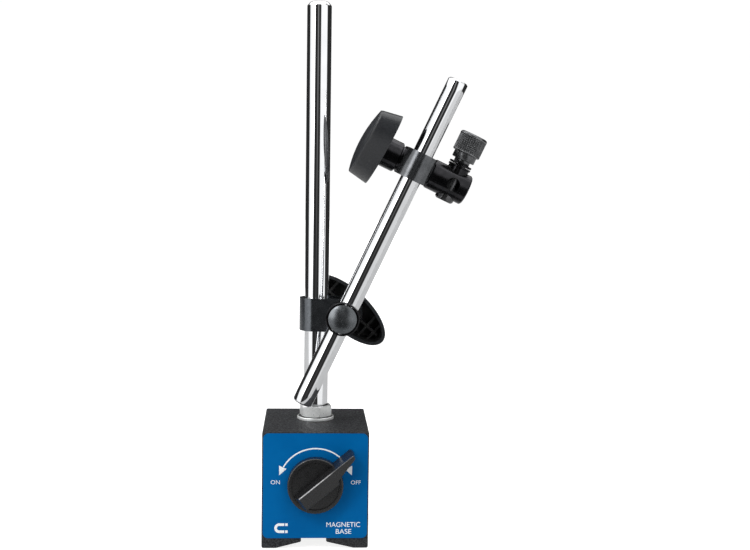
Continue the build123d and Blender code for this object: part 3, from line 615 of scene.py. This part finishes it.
def band(cx, cz, r, a0, a1, w, n=64):
    a = [math.radians(a0 + (a1 - a0) * i / n) for i in range(n + 1)]
    outer = [(cx + (r + w / 2) * math.cos(t), cz + (r + w / 2) * math.sin(t)) for t in a]
    inner = [(cx + (r - w / 2) * math.cos(t), cz + (r - w / 2) * math.sin(t)) for t in reversed(a)]
    return outer + inner


ink_face("print_arc", [band(0.1, 30.8, 17.6, 28.2, 150.9, 0.64)])
ink_face("print_arrow_on", [[(-17.15, 35.5), (-13.75, 38.65), (-15.3, 39.2), (-17.3, 40.2)]])
ink_face("print_arrow_off", [[(17.35, 35.4), (17.45, 40.1), (15.5, 39.1), (13.9, 38.5)]])


def text(name, words, x, z, height, width, weight=0.0):
    cu = bpy.data.curves.new(name, "FONT")
    cu.body = words
    cu.align_x = "CENTER"
    cu.align_y = "CENTER"
    cu.size = height * MM / 0.73
    cu.offset = weight
    cu.extrude = 0.00001
    cu.resolution_u = 6
    o = bpy.data.objects.new(name, cu)
    scene.collection.objects.link(o)
    o.rotation_euler = (math.radians(90), 0, 0)
    bpy.context.view_layer.update()
    w = o.dimensions.x
    o.scale = (width * MM / w, 1, 1)
    o.location = (x * MM, INK_Y + 0.00001, z * MM)
    bpy.context.view_layer.update()
    me = bpy.data.meshes.new_from_object(o.evaluated_get(bpy.context.evaluated_depsgraph_get()))
    me.transform(o.matrix_world)
    bpy.data.objects.remove(o)
    me.materials.clear()
    me.materials.append(ink.m)
    new = bpy.data.objects.new(name, me)
    scene.collection.objects.link(new)
    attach(new, "base")
    return new


# small horseshoe magnet sign
horse = []
for i in range(25):
    t = math.radians(90 + 180 * i / 24)
    horse.append((-17.0 + 2.35 * math.cos(t), 9.8 + 2.35 * math.sin(t)))
horse += [(-14.6, 7.45), (-14.6, 8.7), (-17.0, 8.7)]
for i in range(1, 24):
    t = math.radians(270 - 180 * i / 24)
    horse.append((-17.0 + 1.1 * math.cos(t), 9.8 + 1.1 * math.sin(t)))
horse += [(-17.0, 10.9), (-14.6, 10.9), (-14.6, 12.15)]
ink_face("print_magnet", [horse])
ink_face("print_poles", [[(-14.2, 7.45), (-13.0, 7.45), (-13.0, 8.7), (-14.2, 8.7)], [(-14.2, 10.9), (-13.0, 10.9), (-13.0, 12.15), (-14.2, 12.15)]])


text("print_on", "ON", -19.0, 32.0, 2.0, 4.3)
text("print_off", "OFF", 19.25, 31.9, 2.0, 4.7)
text("print_magnetic", "MAGNETIC", 13.5, 11.35, 2.45, 16.2)
text("print_base", "BASE", 13.6, 8.0, 2.45, 7.4)

# --------------------------------------------------------------------------
# Floor, light and surroundings
# --------------------------------------------------------------------------


def flat(name, verts, mat):
    me = bpy.data.meshes.new(name)
    me.from_pydata(verts, [], [tuple(range(len(verts)))])
    me.materials.append(mat)
    o = bpy.data.objects.new(name, me)
    scene.collection.objects.link(o)
    return o


pale = Mat("pale_floor", (0.5, 0.5, 0.5), 0.7, Specular_IOR_Level=0.1)
pale.color(pale.mix(pale.noise(14.0, 3.0, 0.5), (0.49, 0.49, 0.49), (0.51, 0.51, 0.51)))
pale.b.inputs["Emission Color"].default_value = (1, 1, 1, 1)
pale.b.inputs["Emission Strength"].default_value = 0.85
floor = flat("floor", [(-4, -4, -0.0004), (4, -4, -0.0004), (4, 4, -0.0004), (-4, 4, -0.0004)], pale.m)
floor.visible_glossy = False
floor.visible_diffuse = False
floor.visible_shadow = False
# the pale sheet that the polished parts mirror; it ends in front of the object
sheet = Mat("pale_sheet", (0.45, 0.45, 0.45), 0.7, Specular_IOR_Level=0.1)
sheet.color(sheet.mix(sheet.noise(9.0, 3.0, 0.5), (0.43, 0.43, 0.43), (0.47, 0.47, 0.47)))
table = flat("table", [(-0.85, -0.14, -0.0007), (0.85, -0.14, -0.0007), (0.85, 1.0, -0.0007), (-0.85, 1.0, -0.0007)], sheet.m)
table.visible_camera = False
table.visible_shadow = False

world = bpy.data.worlds.new("studio")
scene.world = world
world.use_nodes = True
wn = world.node_tree
wn.nodes.clear()


class Sky:
    n = Mat.n
    put = Mat.put
    math = Mat.math
    span = Mat.span
    near = Mat.near
    nt = wn


sky = Sky()
direction = sky.n("ShaderNodeTexCoord").outputs["Generated"]
sep = sky.n("ShaderNodeSeparateXYZ")
sky.put(sep.inputs[0], direction)
az = sky.math("MULTIPLY", sky.math("ARCTAN2", sep.outputs[0], sky.math("MULTIPLY", sep.outputs[1], -1.0)), 180 / math.pi)
el = sky.math("MULTIPLY", sky.math("ARCSINE", sep.outputs[2]), 180 / math.pi)


def panel(a0, a1, lean0=0.0, lean1=0.0, soft=3.0, top=58.0):
    """A tall soft panel from azimuth a0 to a1, whose edges lean with elevation."""
    lo = sky.math("ADD", az, sky.math("MULTIPLY", el, lean0))
    hi = sky.math("ADD", az, sky.math("MULTIPLY", el, lean1))
    up = sky.span(lo, a0 - soft, a0 + soft)
    down = sky.span(hi, a1 - soft, a1 + soft, 1.0, 0.0)
    cap = sky.span(el, top - 4, top + 4, 1.0, 0.0)
    return sky.math("MULTIPLY", sky.math("MULTIPLY", up, down), cap)


left = panel(-90.0, -40.0, 0.5, 0.0)
right = sky.math("MULTIPLY", panel(17.0, 81.0), sky.span(el, -14.0, -8.0, 0.66, 1.0))
over = sky.span(el, 50.0, 58.0)
behind = sky.math("MULTIPLY", sky.math("MULTIPLY", sky.span(sky.math("ABSOLUTE", az), 96.0, 112.0), sky.span(sky.math("ABSOLUTE", az), 150.0, 164.0, 1.0, 0.0)), sky.math("MULTIPLY", sky.span(el, 27.0, 33.0), sky.span(el, 56.0, 62.0, 1.0, 0.0)))
val = sky.math("ADD", 0.026, sky.math("MULTIPLY", left, 1.12))
core = sky.math("MULTIPLY", sky.math("MULTIPLY", sky.span(az, -66.0, -58.0), sky.span(az, -42.0, -36.0, 1.0, 0.0)), sky.math("MULTIPLY", sky.span(el, -8.0, 4.0), sky.span(el, 38.0, 50.0, 1.0, 0.0)))
val = sky.math("ADD", val, sky.math("MULTIPLY", core, 2.4))
val = sky.math("ADD", val, sky.math("MULTIPLY", right, 1.12))
val = sky.math("ADD", val, sky.math("MULTIPLY", over, 1.9))
val = sky.math("ADD", val, sky.math("MULTIPLY", behind, 1.3))
strip = sky.math("MULTIPLY", sky.near(az, -8.5, 8.5), sky.span(el, -6.0, 10.0, 0.03, 0.26))
val = sky.math("ADD", val, strip)
rear = sky.math("MULTIPLY", sky.span(sky.math("ABSOLUTE", az), 150.0, 156.0), sky.span(el, -6.0, -2.0, 1.0, 0.0))
val = sky.math("ADD", val, sky.math("MULTIPLY", rear, 0.95))
path = sky.n("ShaderNodeLightPath")
back = sky.n("ShaderNodeBackground")
sky.put(back.inputs["Color"], val)
seen = sky.n("ShaderNodeBackground")
seen.inputs["Color"].default_value = (1.02, 1.02, 1.02, 1)
both = sky.n("ShaderNodeMixShader")
sky.put(both.inputs[0], path.outputs["Is Camera Ray"])
wn.links.new(back.outputs[0], both.inputs[1])
wn.links.new(seen.outputs[0], both.inputs[2])
wout = sky.n("ShaderNodeOutputWorld")
wn.links.new(both.outputs[0], wout.inputs[0])

key = bpy.data.lights.new("key", "AREA")
key.shape = "DISK"
key.size = 0.5
key.energy = 9.0
key_o = bpy.data.objects.new("key", key)
scene.collection.objects.link(key_o)
key_o.location = (-1.0, -1.1, 1.5)
key_o.rotation_euler = (Vector((0, 0, 0.12)) - key_o.location).to_track_quat("-Z", "Y").to_euler()

scene.view_settings.view_transform = "Standard"
scene.view_settings.look = "None"
